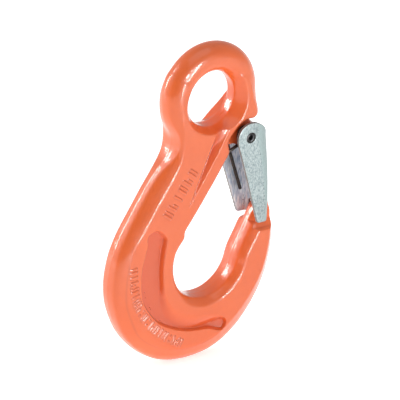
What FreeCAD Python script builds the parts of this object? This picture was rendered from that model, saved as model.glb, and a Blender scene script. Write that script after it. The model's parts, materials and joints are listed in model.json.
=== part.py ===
"""Eye sling hook with a sprung safety latch, for 8 mm (5/16 in) grade 80 chain. Millimetres.

Origin of the finished parts: centre of the eye bore, on the forging's parting plane.
While modelling, the bore's centre lies at z = EYE_Z; SHIFT moves each finished part.
+Z: up along the load line, from the bowl's centre to the eye.
+X: from the spine towards the hook point and the latch.
+Y: across the hook's thickness; Y = 0 is the parting plane.
"""
import FreeCAD, Part
import math
import os

Vector = FreeCAD.Vector
os.makedirs("parts", exist_ok=True)

# ---------------------------------------------------------------- shared dimensions
EYE_Z = -1.5                    # height of the eye bore's centre while modelling
SHIFT = Vector(0, 0, -EYE_Z)
PIVOT_X, PIVOT_Z = 18.9, -22.4  # latch pin axis
PIN_R = 2.5
CUT_Y = 12                      # cutters reach this far either side of the parting plane
WIDE_CUT_Y = 15                 # the same, for the widest cutters


# ---------------------------------------------------------------- helpers
def closed_spline(points):
    curve = Part.BSplineCurve()
    curve.interpolate(Points=points, PeriodicFlag=True)
    return curve


def polygon_face(points):
    return Part.Face(Part.makePolygon(points + [points[0]]))


def box(x0, x1, y0, y1, z0, z1):
    return Part.makeBox(x1 - x0, y1 - y0, z1 - z0, Vector(x0, y0, z0))


def pivot_cylinder(radius, half_length):
    """Cylinder on the latch pin's axis, centred on the parting plane."""
    base = Vector(PIVOT_X, -half_length, PIVOT_Z)
    return Part.makeCylinder(radius, 2 * half_length, base, Vector(0, 1, 0))


def prism_xz(outline, y0, y1):
    """Extrude an (x, z) polygon from y0 to y1."""
    return polygon_face([Vector(x, y0, z) for x, z in outline]).extrude(Vector(0, y1 - y0, 0))


def spline_prism(outline, y0, y1):
    """Extrude a closed spline through (x, z) points from y0 to y1."""
    curve = closed_spline([Vector(x, y0, z) for x, z in outline])
    return Part.Face(Part.Wire([curve.toShape()])).extrude(Vector(0, y1 - y0, 0))


def export(name, shape):
    shape.translate(SHIFT)
    Part.makeCompound(shape.Solids).exportStep(f"parts/{name}.step")


# ---------------------------------------------------------------- hook body: outline
HALF_T = 8.5                    # half thickness of the forging at its flat faces
DRAFT = 0.5                     # most the side walls lean in between parting line and bevel
DRAFT_PER_BEVEL = 0.3           # the lean is no more than this share of the bevel
SEGMENTS = 26                   # pieces each outline layer is split into
BOWL_X, BOWL_Z = -0.8, -80.7    # centre of the bowl's inner curve
BOWL_R = 18.7
BOWL_ANGLES = (-8, -208)        # from the point's side, under the bowl, to the spine's side
BOWL_POINTS = 13
BOWL_SECTIONS = ((3.6, 8.2, 0.8), (1.5, 8.5, 0.4))  # last three outline columns at its ends


def bowl_arc():
    """Outline rows of the bowl; the section blends from 45 % to 85 % of the way."""
    start, end = BOWL_ANGLES
    rows = []
    for i in range(BOWL_POINTS):
        along = i / (BOWL_POINTS - 1)
        angle = math.radians(start + (end - start) * along)
        blend = min(max((along - 0.45) / 0.4, 0), 1)
        blend = blend * blend * (3 - 2 * blend)
        section = tuple(first + (last - first) * blend for first, last in zip(*BOWL_SECTIONS))
        rows.append((BOWL_X + BOWL_R * math.cos(angle), BOWL_Z + BOWL_R * math.sin(angle))
                    + section)
    return rows


# Outline on the parting plane, anticlockwise with +X right and +Z up. Columns: x, z,
# bevel width, half thickness at the face edge, width of the band from there to the flat.
OUTLINE = [
    # left of the eye, then down the spine
    (-19.0, 5.5, 2.0, 7.0, 0.6), (-22.3, 0.0, 2.2, 7.0, 0.8), (-22.4, -7.0, 2.6, 7.0, 1.0),
    (-20.6, -14.0, 2.8, 7.1, 1.4), (-19.9, -19.5, 3.0, 7.2, 1.6), (-21.3, -24.6, 3.0, 7.2, 1.8),
    (-26.0, -30.5, 3.2, 7.2, 2.0), (-33.0, -39.4, 3.4, 7.2, 2.0), (-39.4, -49.3, 3.2, 7.1, 2.2),
    (-45.7, -59.7, 2.6, 6.8, 3.0), (-50.4, -70.1, 1.9, 6.2, 4.5), (-52.5, -80.4, 1.3, 5.7, 6.0),
    # round the outside of the bowl
    (-52.6, -91.1, 1.2, 5.4, 7.0), (-49.7, -101.7, 1.2, 5.3, 7.0), (-43.5, -112.9, 1.4, 5.3, 7.0),
    (-33.7, -122.3, 1.6, 5.3, 7.0), (-21.8, -128.2, 1.8, 5.3, 7.0), (-8.2, -129.8, 1.8, 5.3, 7.0),
    (5.7, -127.7, 1.8, 5.3, 7.0), (18.6, -120.2, 1.8, 5.3, 6.5), (28.6, -108.6, 1.8, 5.4, 5.5),
    (35.2, -95.1, 1.8, 5.6, 4.0), (37.7, -81.6, 1.8, 6.2, 2.5), (37.6, -74.0, 1.4, 6.8, 1.6),
    # over the point
    (36.8, -68.1, 0.8, 7.4, 0.8), (35.8, -62.9, 0.4, 7.8, 0.3), (34.8, -59.9, 0.3, 8.0, 0.1),
    (34.0, -58.0, 0.2, 8.2, 0.1), (33.1, -57.8, 0.2, 8.2, 0.1), (32.65, -59.0, 0.2, 8.2, 0.1),
    (32.5, -60.7, 0.2, 8.2, 0.1), (31.3, -61.5, 0.2, 8.2, 0.1), (29.3, -62.0, 0.6, 8.1, 0.1),
    (27.3, -64.4, 2.4, 8.2, 0.3), (25.2, -68.2, 3.3, 8.2, 0.4), (22.8, -72.8, 3.5, 8.2, 0.5),
    (20.2, -77.6, 3.6, 8.2, 0.6),
] + bowl_arc() + [
    # up the throat side of the shank
    (-15.2, -69.0, 1.4, 8.5, 0.4), (-14.0, -66.8, 1.3, 8.5, 0.4), (-13.9, -64.4, 1.2, 8.5, 0.4),
    (-12.0, -61.2, 1.2, 8.5, 0.4), (-8.6, -56.4, 1.2, 8.5, 0.4), (-3.2, -48.8, 1.2, 8.5, 0.4),
    (2.1, -41.0, 1.2, 8.5, 0.4), (5.8, -35.2, 1.2, 8.5, 0.4), (8.1, -31.3, 1.0, 8.5, 0.3),
    # past the lug to the right of the eye
    (9.0, -28.4, 0.7, 8.5, 0.3), (8.3, -25.6, 0.5, 8.5, 0.2), (7.8, -23.2, 0.4, 8.5, 0.2),
    (9.3, -20.6, 0.4, 8.5, 0.2), (12.2, -17.2, 0.4, 8.5, 0.2), (15.4, -14.7, 0.4, 8.5, 0.2),
    (19.0, -13.8, 0.4, 8.5, 0.2), (22.2, -13.7, 0.8, 8.4, 0.3), (24.5, -12.2, 1.4, 8.3, 0.4),
    (25.1, -9.2, 1.6, 8.2, 0.5), (24.1, -4.5, 2.0, 8.0, 0.6), (22.8, 0.5, 2.2, 7.6, 0.6),
    # back across the eye
    (19.8, 6.5, 2.0, 7.2, 0.6), (14.0, 9.5, 1.6, 7.2, 0.6), (7.0, 4.0, 1.5, 7.2, 0.5),
    (0.0, 1.5, 1.5, 7.2, 0.5), (-7.0, 3.5, 1.5, 7.2, 0.5), (-13.5, 8.5, 1.6, 7.2, 0.6),
]

# Layers of the blank from the -Y flat to the +Y flat: level, side.
LAYERS = [("flat", -1), ("face edge", -1), ("wall", -1), ("parting", 1),
          ("wall", 1), ("face edge", 1), ("flat", 1)]


def inward_normals():
    """Left of the outline's tangent, which is inwards as it runs anticlockwise."""
    points = [Vector(row[0], 0, row[1]) for row in OUTLINE]
    curve = closed_spline(points)
    tangents = [curve.tangent(curve.parameter(point))[0] for point in points]
    return [Vector(-tangent.z, 0, tangent.x) for tangent in tangents]


def layer_edges(level, side, normals):
    """Edges of the closed spline that bounds one layer."""
    points = []
    for (x, z, bevel, edge_half, band), normal in zip(OUTLINE, normals):
        lean = min(DRAFT, DRAFT_PER_BEVEL * bevel)
        inset, height = {
            "flat": (lean + bevel + band, HALF_T),
            "face edge": (lean + bevel, edge_half),
            "wall": (lean, edge_half - bevel),
            "parting": (0.0, 0.0),
        }[level]
        points.append(Vector(x, 0, z) + normal * inset + Vector(0, side * height, 0))
    curve = closed_spline(points)
    cuts = [curve.parameter(points[round(i * len(points) / SEGMENTS)]) for i in range(SEGMENTS)]
    cuts[0] = curve.FirstParameter
    cuts.append(curve.LastParameter)
    return [curve.toShape(start, end) for start, end in zip(cuts, cuts[1:])]


def make_blank():
    """Solid forging blank, skinned with ruled faces between the layers."""
    normals = inward_normals()
    layers = [layer_edges(level, side, normals) for level, side in LAYERS]
    faces = [Part.makeRuledSurface(low_edge, high_edge)
             for low, high in zip(layers, layers[1:])
             for low_edge, high_edge in zip(low, high)]
    faces += [Part.Face(Part.Wire(layers[0])), Part.Face(Part.Wire(layers[-1]))]
    skin = Part.makeCompound(faces)
    skin.sewShape(0.001)
    # if sewing leaves no shell, one is made from the faces
    blank = Part.Solid(skin.Shells[0] if skin.Shells else Part.makeShell(skin.Faces))
    if blank.Volume < 0:
        blank.reverse()
    return blank


# ---------------------------------------------------------------- hook body: eye
TAPER = [(8.6, -13), (6.2, 11)]  # (half thickness, z) where the taper to the top starts, ends
RING_R = 18.4                   # radius of the eye ring's centre line
RING_TUBE = 7.0                 # radius of the eye ring's round section
RING_CENTRE = Vector(0.3, 0, 0.6)
EYE_R = 13.2                    # eye bore radius
EYE_LAND = 2.8                  # half length of the cylindrical land in the eye bore
LAND_OVERLAP = 0.5              # overlap of the straight bore with the land
FLARE_R, FLARE_Y = 18.6, 8.8    # radius of the flare at this distance from the parting plane
FLARE_SLOPE = 0.9               # radius gained per mm beyond FLARE_Y
# ends of the straight shoulder (x, z), about the bore's centre
SHOULDER = [(20.5, -1.4 - EYE_Z), (0.5, -19.2 - EYE_Z)]


def taper_to_top(blank):
    """Thin the body down towards the top of the eye."""
    (low_half, low_z), (high_half, high_z) = TAPER
    for side in (1, -1):
        corners = [(low_half, low_z), (high_half, high_z), (CUT_Y, high_z), (CUT_Y, low_z)]
        wedge = polygon_face([Vector(-40, side * y, z) for y, z in corners])
        blank = blank.cut(wedge.extrude(Vector(80, 0, 0)))
    return blank


def revolve_y(profile):
    """Revolve a closed (radius, y) polygon about the Y axis."""
    face = polygon_face([Vector(radius, y, 0) for radius, y in profile])
    return face.revolve(Vector(0, 0, 0), Vector(0, 1, 0), 360)


def eye_bore():
    """Cutter for the bore: a short land, then a wide flare to each face."""
    profile = [(0, 0), (EYE_R, 0), (EYE_R, EYE_LAND), (FLARE_R, FLARE_Y),
               (FLARE_R + (CUT_Y - FLARE_Y) * FLARE_SLOPE, CUT_Y), (0, CUT_Y)]
    minus_half = revolve_y([(radius, -y) for radius, y in reversed(profile)])
    plus_half = revolve_y(profile)
    # on the +Y side the body keeps its full thickness up to a straight shoulder
    # across the lower +X part of the eye
    keep = prism_xz(SHOULDER + [(-6.0, -40.0), (40.0, -40.0), (40.0, SHOULDER[0][1])],
                    EYE_LAND, 13)
    straight_start = EYE_LAND - LAND_OVERLAP
    straight = Part.makeCylinder(EYE_R, CUT_Y - straight_start, Vector(0, straight_start, 0),
                                 Vector(0, 1, 0))
    bore = minus_half.fuse(plus_half.cut(keep).fuse(straight))
    bore.translate(Vector(0, 0, EYE_Z))
    return bore


# ---------------------------------------------------------------- hook body: lug and point
LUG_HALF = 3.0                  # half thickness of the latch lug
LUG_R = 6.2
LUG_DX, LUG_DZ = 4.6, 4.2       # from the pin axis to the web's corners on the lug's end
LUG_WEB = [                     # (x, z) of the web between the lug's round end and the body
    (5, -16), (14, -12.5), (21.5, -13.0), (PIVOT_X + LUG_DX, PIVOT_Z + LUG_DZ),
    (PIVOT_X, PIVOT_Z), (PIVOT_X - LUG_DX, PIVOT_Z - LUG_DZ), (7.0, -27.0), (2, -24),
]

TIP_HALF = 4.7                  # half thickness of the point where the latch straddles it
TIP_Z = -70.3                   # level where the point thins
TIP_START_Z = TIP_Z - 3.6
TIP_TOP_Z = -55
TIP_RELIEF = [                  # (distance from the parting plane, z)
    (8.7, TIP_START_Z), (TIP_HALF + 1.2, TIP_Z + 0.5), (TIP_HALF + 0.1, TIP_Z + 3.0),
    (TIP_HALF, TIP_TOP_Z), (CUT_Y, TIP_TOP_Z), (CUT_Y, TIP_START_Z),
]
RIDGE_LOW = Vector(22.0, 0, -75.5)      # ends of the ridge on the point's throat side
RIDGE_HIGH = Vector(31.2, 0, -55.0)
# section of the cutter beside the ridge: offset towards the throat, distance from Y = 0
RIDGE_CUT = [(0.4, 1.6), (-4.2, 6.2), (-4.2, CUT_Y), (6, CUT_Y), (6, 1.6)]


def add_lug(body):
    """Add the lug that carries the latch pin, and drill it."""
    lug = prism_xz(LUG_WEB, -LUG_HALF, LUG_HALF)
    lug = lug.fuse(pivot_cylinder(LUG_R, LUG_HALF))
    return body.fuse(lug).cut(pivot_cylinder(PIN_R, CUT_Y))


def thin_point(body):
    """Thin the point where the latch straddles it, leaving a narrow inner ridge."""
    ridge = RIDGE_HIGH - RIDGE_LOW
    direction = (RIDGE_HIGH - RIDGE_LOW).normalize()
    to_throat = Vector(-direction.z, 0, direction.x)
    for side in (1, -1):
        relief = polygon_face([Vector(20, side * y, z) for y, z in TIP_RELIEF])
        body = body.cut(relief.extrude(Vector(25, 0, 0)))
        section = [RIDGE_LOW + to_throat * offset + Vector(0, side * y, 0)
                   for offset, y in RIDGE_CUT]
        cutter = polygon_face(section).extrude(ridge)
        cutter = cutter.common(box(20, 40, -WIDE_CUT_Y, WIDE_CUT_Y, TIP_Z + 1.0, -50))
        body = body.cut(cutter)
    return body


# ---------------------------------------------------------------- hook body: recesses
PANEL_DEPTH = 0.5
CRESCENT_DEPTH = 2.2
SHANK_GROOVE_DEPTH = 2.4
RECESS_TOP_Y = HALF_T + 2       # outer end of the recess cutters
# (x, z) outlines: the first two are splines, the last a polygon
PANEL = [
    (-41.5, -72.5), (-44.6, -82), (-44.6, -91), (-42.0, -100.5), (-36.4, -109.2),
    (-28.0, -116.4), (-17.5, -120.4), (-6.0, -120.8), (6.0, -117.8), (15.2, -112.0),
    (18.4, -107.0), (16.2, -103.2), (11.0, -105.6), (3.0, -108.6), (-6.0, -108.2),
    (-15.0, -104.4), (-22.0, -97.8), (-25.4, -89.0), (-25.6, -79.0), (-28.0, -68.6),
    (-34.5, -66.8),
]
CRESCENT = [
    (-31.5, -63.0), (-27.8, -62.2), (-25.2, -65.0), (-25.0, -72.0), (-25.6, -80.0),
    (-24.8, -88.6), (-21.4, -96.8), (-14.6, -103.4), (-5.8, -107.2), (3.2, -107.8),
    (11.4, -105.0), (16.4, -103.0), (18.2, -106.2), (15.0, -109.4), (6.0, -112.0),
    (-4.0, -113.0), (-14.0, -111.2), (-23.6, -106.4), (-30.6, -98.8), (-34.6, -89.0),
    (-35.6, -78.6), (-34.6, -69.6),
]
SHANK_GROOVE = [
    (3.2, -19.6), (8.4, -19.2), (7.4, -24.0), (3.4, -31.0), (-4.8, -45.0),
    (-12.2, -57.2), (-11.6, -54.4), (-6.4, -42.2), (-2.2, -31.0),
]


def cut_recesses(body):
    """Shallow panel, deep crescent and tapering shank groove, the same on both faces."""
    cutters = [
        spline_prism(PANEL, HALF_T - PANEL_DEPTH, RECESS_TOP_Y),
        spline_prism(CRESCENT, HALF_T - CRESCENT_DEPTH, RECESS_TOP_Y),
        prism_xz(SHANK_GROOVE, HALF_T - SHANK_GROOVE_DEPTH, RECESS_TOP_Y),
    ]
    for cutter in cutters:
        body = body.cut(cutter)
    for cutter in cutters:
        body = body.cut(cutter.mirror(Vector(0, 0, 0), Vector(0, 1, 0)))
    return body


def make_hook_body():
    ring = Part.makeTorus(RING_R, RING_TUBE, RING_CENTRE, Vector(0, 1, 0))
    body = taper_to_top(make_blank()).fuse(ring)
    body = body.cut(eye_bore())
    body = add_lug(body)
    body = thin_point(body)
    return cut_recesses(body).removeSplitter()


export("hook_body", make_hook_body())

# ---------------------------------------------------------------- latch pin
PIN_LEN = 19.6
PIN_WALL = 0.9
PIN_SLOT = 1.3                  # width of the slot along the pin's -X side
PIN_CHAMFER = 0.4


def make_latch_pin():
    """Slotted spring pin."""
    pin = pivot_cylinder(PIN_R, PIN_LEN / 2)
    rims = [edge for edge in pin.Edges if isinstance(edge.Curve, Part.Circle)]
    pin = pin.makeChamfer(PIN_CHAMFER, rims)
    pin = pin.cut(pivot_cylinder(PIN_R - PIN_WALL, WIDE_CUT_Y))
    return pin.cut(box(PIVOT_X - 4, PIVOT_X - 0.5, -WIDE_CUT_Y, WIDE_CUT_Y,
                       PIVOT_Z - PIN_SLOT / 2, PIVOT_Z + PIN_SLOT / 2))


export("latch_pin", make_latch_pin())

# ---------------------------------------------------------------- safety latch
LATCH_T = 1.6                   # latch sheet thickness
HEAD_R = 7.3                    # round head of the latch cheeks, about the pin
HEAD_START = 18.3               # the head's arc starts this many degrees below -X
LATCH_CLEAR = 0.05              # radial clearance of the cheek holes on the pin
# side profile (x, z): the back's upper curve, then the lower end
BACK_TOP = (21.2, PIVOT_Z + HEAD_R)
BACK_MID = (28.0, -19.6)
BACK_LOW = (33.2, -30.0)
LATCH_END_Z = -67.3
END_BACK = (33.5, LATCH_END_Z)
END_FREE = (25.9, LATCH_END_Z)
NOTCH_HALF = 5.8                # half width of the slot in the latch's back, for the point
NOTCH_Z = -60.1                 # top of that slot
NOTCH_R = 2.2                   # radius of its upper corners
NOTCH_X = (29.0, 36)
NOTCH_LOW_Z = -80
# z, outer width, outer bend radius, outer face of the back, free edge of the cheeks
CHANNEL = [
    (-12.0, 20.6, 9.2, 31.5, 5.0),
    (-25.0, 20.6, 8.6, 31.9, 5.0),
    (-31.0, 20.4, 7.4, 32.1, 8.0),
    (-38.0, 20.2, 6.0, 32.2, 11.0),
    (-48.0, 19.6, 4.5, 32.4, 14.0),
    (-58.0, 18.5, 3.4, 32.4, 16.0),
    (-71.0, 17.3, 3.0, 32.4, 18.0),
]


def channel_loft(offset):
    """Solid channel, offset inwards, and lengthened past the cheeks' free edges."""
    wires = []
    for z, width, bend_r, back_x, free_x in CHANNEL:
        half, radius, back = width / 2 - offset, bend_r - offset, back_x - offset
        free = free_x - 4 * offset
        bend_x = back - radius
        diagonal = radius * math.sqrt(0.5)
        points = [Vector(x, y, z) for x, y in [
            (free, -half), (bend_x, -half), (bend_x + diagonal, -half + radius - diagonal),
            (back, -half + radius), (back, half - radius),
            (bend_x + diagonal, half - radius + diagonal), (bend_x, half), (free, half),
        ]]
        wires.append(Part.Wire([
            Part.makeLine(points[0], points[1]), Part.Arc(*points[1:4]).toShape(),
            Part.makeLine(points[3], points[4]), Part.Arc(*points[4:7]).toShape(),
            Part.makeLine(points[6], points[7]), Part.makeLine(points[7], points[0]),
        ]))
    return Part.makeLoft(wires, True)


def latch_side_profile():
    """Face of the latch seen along Y, at the -Y end of its extrusion."""
    def head_point(degrees):
        angle = math.radians(degrees)
        return (PIVOT_X + HEAD_R * math.cos(angle), PIVOT_Z + HEAD_R * math.sin(angle))

    outline = [head_point(180 + HEAD_START), head_point(135), (PIVOT_X, PIVOT_Z + HEAD_R),
               BACK_TOP, BACK_MID, BACK_LOW, END_BACK, END_FREE]
    points = [Vector(x, -CUT_Y, z) for x, z in outline]
    return Part.Face(Part.Wire([
        Part.Arc(*points[0:3]).toShape(), Part.makeLine(points[2], points[3]),
        Part.Arc(*points[3:6]).toShape(), Part.makeLine(points[5], points[6]),
        Part.makeLine(points[6], points[7]), Part.makeLine(points[7], points[0]),
    ]))


def make_safety_latch():
    """Folded sheet channel."""
    sheet = channel_loft(0).cut(channel_loft(LATCH_T))
    latch = sheet.common(latch_side_profile().extrude(Vector(0, 2 * CUT_Y, 0)))
    # slot in the back's lower edge, with rounded upper corners, for the hook point
    x0, x1 = NOTCH_X
    corner_y, corner_z = NOTCH_HALF - NOTCH_R, NOTCH_Z - NOTCH_R
    slot = box(x0, x1, -NOTCH_HALF, NOTCH_HALF, NOTCH_LOW_Z, corner_z).fuse(
        box(x0, x1, -corner_y, corner_y, NOTCH_LOW_Z, NOTCH_Z))
    for side in (1, -1):
        slot = slot.fuse(Part.makeCylinder(
            NOTCH_R, x1 - x0, Vector(x0, side * corner_y, corner_z), Vector(1, 0, 0)))
    return latch.cut(slot).cut(pivot_cylinder(PIN_R + LATCH_CLEAR, CUT_Y))


export("safety_latch", make_safety_latch())

# ---------------------------------------------------------------- latch spring
WIRE_R = 0.8                    # spring wire radius
COIL_R = 3.75                   # spring coil mean radius
COIL_PITCH = 1.68               # axial step of the spring coil per turn
COIL_OUTER_Y = 6.85             # where the free leg leaves the coil
COIL_STEPS = 400
LEG_END = Vector(26.9, 6.1, -55.2)
LEG_AIM_X, LEG_AIM_Z = 20.25, -35.6     # the free leg is parallel to the line from here to its end
BRIDGE_X, BRIDGE_Z = 9.95, -30.2        # where the arms from the two coils turn towards Y = 0
BEND_R = 1.7                    # bend between an arm and the bridge
BEND_STEPS = 40
HALF_STEPS = 101                # equal steps along half of the wire


def coil_point(degrees, y):
    angle = math.radians(degrees)
    return Vector(PIVOT_X + COIL_R * math.cos(angle), y, PIVOT_Z + COIL_R * math.sin(angle))


def even(points, step):
    """The same polyline with points one step apart."""
    spaced, left = [points[0]], step
    for start, end in zip(points, points[1:]):
        length = (end - start).Length
        while length > left:
            start = start + (end - start) * (left / length)
            spaced.append(start)
            length -= left
            left = step
        left -= length
    return spaced


def half_centre_line():
    """From the +Y leg's end through its coil to the middle of the bridge."""
    # angles where the leg and the arm touch the coil
    leg_dir = Vector(LEG_END.x - LEG_AIM_X, 0, LEG_END.z - LEG_AIM_Z).normalize()
    leg_angle = math.degrees(math.atan2(-leg_dir.x, leg_dir.z)) % 360
    dx, dz = BRIDGE_X - PIVOT_X, BRIDGE_Z - PIVOT_Z
    arm_angle = (math.degrees(math.atan2(dz, dx))
                 + math.degrees(math.acos(COIL_R / math.hypot(dx, dz))))
    sweep = (leg_angle - arm_angle) % 360 + 360
    inner_y = COIL_OUTER_Y - COIL_PITCH * sweep / 360

    start = coil_point(leg_angle, COIL_OUTER_Y)
    foot = start + leg_dir * ((LEG_END - start).dot(leg_dir))
    line = [Vector(foot.x, LEG_END.y, foot.z), start]
    for i in range(1, COIL_STEPS + 1):
        along = i / COIL_STEPS
        line.append(coil_point(leg_angle - sweep * along,
                               COIL_OUTER_Y + (inner_y - COIL_OUTER_Y) * along))
    knee = Vector(BRIDGE_X, inner_y, BRIDGE_Z)
    arm_dir = (knee - coil_point(leg_angle - sweep, inner_y)).normalize()
    centre = knee - arm_dir * BEND_R + Vector(0, -BEND_R, 0)
    for i in range(BEND_STEPS + 1):
        angle = math.radians(90 * i / BEND_STEPS)
        line.append(centre + Vector(0, BEND_R * math.cos(angle), 0)
                    + arm_dir * (BEND_R * math.sin(angle)))
    line.append(Vector(line[-1].x, 0, line[-1].z))

    length = sum((end - start).Length for start, end in zip(line, line[1:]))
    # the step is a hair short, so rounding cannot lose a point before the end
    return even(line, length / (HALF_STEPS + 1e-7))[:HALF_STEPS] + [line[-1]]


def make_latch_spring():
    """Double torsion spring: the round section carried along the wire without twist."""
    half_line = half_centre_line()
    line = half_line + [Vector(p.x, -p.y, p.z) for p in reversed(half_line[:-1])]
    sections = []
    across = Vector(0, 1, 0)
    for i, point in enumerate(line):
        tangent = (line[min(i + 1, len(line) - 1)] - line[max(i - 1, 0)]).normalize()
        across = (across - tangent * across.dot(tangent)).normalize()
        side = tangent.cross(across)
        rim = [point + across * (WIRE_R * math.cos(math.radians(angle)))
               + side * (WIRE_R * math.sin(math.radians(angle)))
               for angle in range(0, 360, 45)]
        sections.append(Part.Wire([
            Part.Arc(rim[k], rim[k + 1], rim[(k + 2) % 8]).toShape() for k in (0, 2, 4, 6)]))
    return Part.makeLoft(sections, True, True)


export("latch_spring", make_latch_spring())
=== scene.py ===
# A forged eye hook with a sheet-metal safety latch, a rolled pin and a double torsion spring.
# X runs across the hook with its mouth open to +X, Y through its thickness, Z up to the eye.
# Shapes are in millimetres about the centre of the eye; LIFT raises them to the part's frame.
import json
import math

import bpy
import numpy as np
from mathutils import Vector, Matrix
from mathutils.kdtree import KDTree


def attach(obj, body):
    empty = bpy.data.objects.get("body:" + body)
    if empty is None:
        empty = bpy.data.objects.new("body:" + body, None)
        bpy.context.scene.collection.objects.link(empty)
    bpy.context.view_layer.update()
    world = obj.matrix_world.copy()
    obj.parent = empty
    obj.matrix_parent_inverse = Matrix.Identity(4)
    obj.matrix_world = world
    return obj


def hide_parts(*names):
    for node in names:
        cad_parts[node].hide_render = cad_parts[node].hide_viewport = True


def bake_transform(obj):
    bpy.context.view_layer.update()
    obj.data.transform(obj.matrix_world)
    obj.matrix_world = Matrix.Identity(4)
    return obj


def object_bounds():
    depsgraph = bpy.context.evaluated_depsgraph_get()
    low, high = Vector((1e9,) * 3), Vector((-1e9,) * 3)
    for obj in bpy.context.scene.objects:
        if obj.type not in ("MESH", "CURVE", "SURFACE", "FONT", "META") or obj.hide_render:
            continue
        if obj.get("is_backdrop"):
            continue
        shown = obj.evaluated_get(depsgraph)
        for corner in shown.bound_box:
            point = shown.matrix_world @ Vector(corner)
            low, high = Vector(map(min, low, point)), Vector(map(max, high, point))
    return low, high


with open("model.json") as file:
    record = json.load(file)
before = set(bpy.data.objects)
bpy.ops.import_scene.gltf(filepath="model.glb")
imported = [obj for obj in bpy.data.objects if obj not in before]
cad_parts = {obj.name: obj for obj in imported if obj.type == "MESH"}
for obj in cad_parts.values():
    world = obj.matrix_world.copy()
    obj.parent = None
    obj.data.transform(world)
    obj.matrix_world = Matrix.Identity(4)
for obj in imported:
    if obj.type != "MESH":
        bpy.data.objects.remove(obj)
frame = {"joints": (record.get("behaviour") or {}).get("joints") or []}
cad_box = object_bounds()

MM = 0.001
JOINT_POS = frame["joints"][0]["pos_m"]
PIN_X, PIN_Z = JOINT_POS[0] * 1000, -22.4    # axis of the latch pin, along Y
PIN_R = 2.5                                  # also the hole through the forging
LIFT = JOINT_POS[2] * 1000 - PIN_Z


# ===================================================================== curves and blends
def periodic_spline(stations, step):
    """Closed natural-parameter cubic through rows of x, z and more: points about step apart."""
    points = np.asarray(stations, float)
    count = len(points)
    spans = np.linalg.norm(np.roll(points, -1, 0)[:, :2] - points[:, :2], axis=1)
    system = np.zeros((count, count))
    target = np.zeros((count, points.shape[1]))
    for i in range(count):
        j = (i + 1) % count
        before, after = spans[i - 1], spans[i]
        system[i, i - 1] += before
        system[i, i] += 2 * (before + after)
        system[i, j] += after
        target[i] = 6 * ((points[j] - points[i]) / after - (points[i] - points[i - 1]) / before)
    bend = np.linalg.solve(system, target)
    pieces = []
    for i in range(count):
        j = (i + 1) % count
        span = spans[i]
        steps = max(2, int(round(span / step)))
        t = (np.arange(steps) / steps)[:, None]
        u, v = (1 - t) * span, t * span
        pieces.append(bend[i] * u ** 3 / (6 * span) + bend[j] * v ** 3 / (6 * span)
                      + (points[i] / span - bend[i] * span / 6) * u
                      + (points[j] / span - bend[j] * span / 6) * v)
    return np.vstack(pieces)


def open_spline(stations, step):
    """Open Catmull-Rom curve through the stations, points about step apart."""
    points = np.asarray(stations, float)
    padded = np.vstack([2 * points[0] - points[1], points, 2 * points[-1] - points[-2]])
    pieces = []
    for i in range(1, len(padded) - 2):
        p0, p1, p2, p3 = padded[i - 1:i + 3]
        steps = max(2, int(round(np.linalg.norm(p2 - p1) / step)))
        t = (np.arange(steps) / steps)[:, None]
        pieces.append(0.5 * (2 * p1 + (p2 - p0) * t + (2 * p0 - 5 * p1 + 4 * p2 - p3) * t ** 2
                             + (3 * p1 - p0 - 3 * p2 + p3) * t ** 3))
    pieces.append(points[-1:])
    return np.vstack(pieces)


def soft_min(a, b, width):
    h = np.maximum(width - np.abs(a - b), 0) / width
    return np.minimum(a, b) - h * h * width * 0.25


def soft_max(a, b, width):
    h = np.maximum(width - np.abs(a - b), 0) / width
    return np.maximum(a, b) + h * h * width * 0.25


def ease(x):
    """Smooth step from 0 to 1."""
    x = np.clip(x, 0, 1)
    return x * x * (3 - 2 * x)


def segment_distance(x, z, a, b):
    """Distance from points to the segment a-b."""
    ex, ez = b[0] - a[0], b[1] - a[1]
    t = np.clip(((x - a[0]) * ex + (z - a[1]) * ez) / max(ex * ex + ez * ez, 1e-9), 0, 1)
    return np.hypot(x - a[0] - t * ex, z - a[1] - t * ez)


def rounded_corner(u, v, radius):
    """Distance to a rounded corner, from offsets past the centre of its rounding."""
    return (np.hypot(np.maximum(u, 0), np.maximum(v, 0))
            + np.minimum(np.maximum(u, v), 0) - radius)


def point_in(polygon, x, z):
    """Even-odd inside test of many points against a polygon, by sorted crossings along x."""
    inside = np.zeros(len(x), bool)
    levels, level_of = np.unique(np.round(z, 6), return_inverse=True)
    a, b = polygon, np.roll(polygon, -1, 0)
    order = np.argsort(level_of, kind="stable")
    bounds = np.searchsorted(level_of[order], np.arange(len(levels) + 1))
    for k, level in enumerate(levels):
        c = (a[:, 1] > level) != (b[:, 1] > level)
        if not c.any():
            continue
        slope = (level - a[c, 1]) / (b[c, 1] - a[c, 1])
        crossings = np.sort(a[c, 0] + slope * (b[c, 0] - a[c, 0]))
        chosen = order[bounds[k]:bounds[k + 1]]
        inside[chosen] = np.searchsorted(crossings, x[chosen]) % 2 == 1
    return inside


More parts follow.
